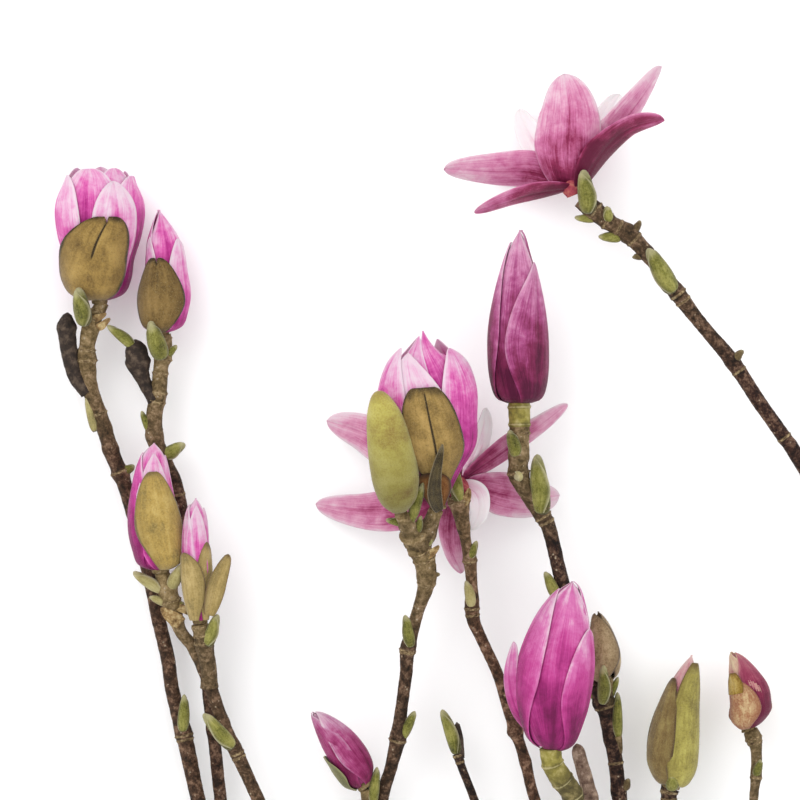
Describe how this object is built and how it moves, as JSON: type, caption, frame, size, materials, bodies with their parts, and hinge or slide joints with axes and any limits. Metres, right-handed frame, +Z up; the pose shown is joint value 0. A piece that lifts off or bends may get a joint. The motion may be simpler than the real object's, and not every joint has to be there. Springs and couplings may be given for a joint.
{
  "type": "saucer magnolia branch",
  "caption": "Cut flowering magnolia branch lying flat: forked brown twigs with pink and magenta buds, half-open and open blooms, and furry green-brown bud scales",
  "frame": {"origin": "middle of the footprint, on the surface that the branch lies on", "axes": "+Z up; +Y runs from the cut end of the limb towards the flowers, along the branch's length; +X to the right of the view that looks down on it"},
  "size_m": [0.4238, 0.5689, 0.0896],
  "materials": {
    "bark": "dark purplish brown twig bark with pale lenticels, tan ring scars and small green side buds",
    "green_neck": "soft yellow-green flower stalk with ring scars",
    "tepal_pink": "fleshy satin tepal, magenta at the root fading to pale pink at the tip",
    "tepal_dusty": "fleshy satin tepal, dusty magenta with veins and a pale edge",
    "tepal_magenta": "fleshy satin tepal, deep magenta with a lighter edge",
    "brown_fur": "khaki-brown felted bud scale with a dark rim",
    "green_fur": "yellow-green felted bud scale with fine pale hairs",
    "cream_scale": "cream bud scale with a reddish edge"
  },
  "bodies": {
    "root": {"wood": "bark", "neck_F": "green_neck", "neck_G": "green_neck", "tepals_A": "tepal_pink", "tepals_B": "tepal_pink", "tepals_C1": "tepal_pink", "tepals_C2": "tepal_pink", "tepals_D": "tepal_pink", "tepals_E": "tepal_dusty", "tepals_F": "tepal_dusty", "tepals_G": "tepal_magenta", "tepals_I": "tepal_magenta", "tepals_J": "tepal_pink", "tepals_K": "tepal_magenta", "tepals_L": "tepal_dusty", "tepals_F2": "brown_fur", "perule_A_1": "brown_fur", "perule_B_1": "brown_fur", "perule_C1_1": "brown_fur", "perule_C2_1": "brown_fur", "open_scale_C2": "brown_fur", "perule_D_1": "brown_fur", "inner_scale_D": "brown_fur", "green_bud_D": "green_fur", "perule_I_1": "green_fur", "perule_J_1": "green_fur", "perule_J_2": "green_fur", "perule_J_3": "green_fur", "perule_K_1": "cream_scale", "perule_K_2": "cream_scale"}
  },
  "joints": []
}
